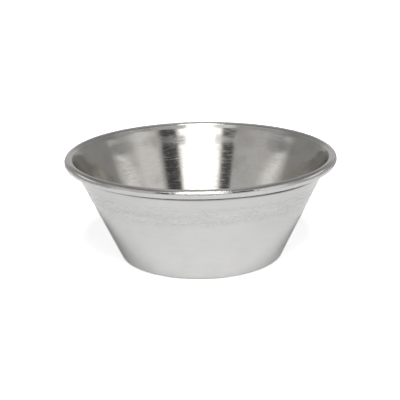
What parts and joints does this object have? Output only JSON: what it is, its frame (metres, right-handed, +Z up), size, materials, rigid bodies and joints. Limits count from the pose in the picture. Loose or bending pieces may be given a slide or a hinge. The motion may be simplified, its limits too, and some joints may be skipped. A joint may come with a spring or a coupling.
{
  "type": "sauce cup",
  "caption": "Round pressed steel cup with a flat base, a flared conical wall and a hollow rolled rim, for serving a small portion of sauce or dip.",
  "frame": {"origin": "centre of the base's underside", "axes": "+Z up along the cup's axis of revolution, out of its mouth; +X and +Y are any two square directions across it"},
  "size_m": [0.073, 0.073, 0.0282],
  "materials": {
    "steel": "polished stainless steel with fine polishing lines round the cup and light scuffs from use"
  },
  "bodies": {
    "root": {"cup_shell": "steel"}
  },
  "joints": []
}
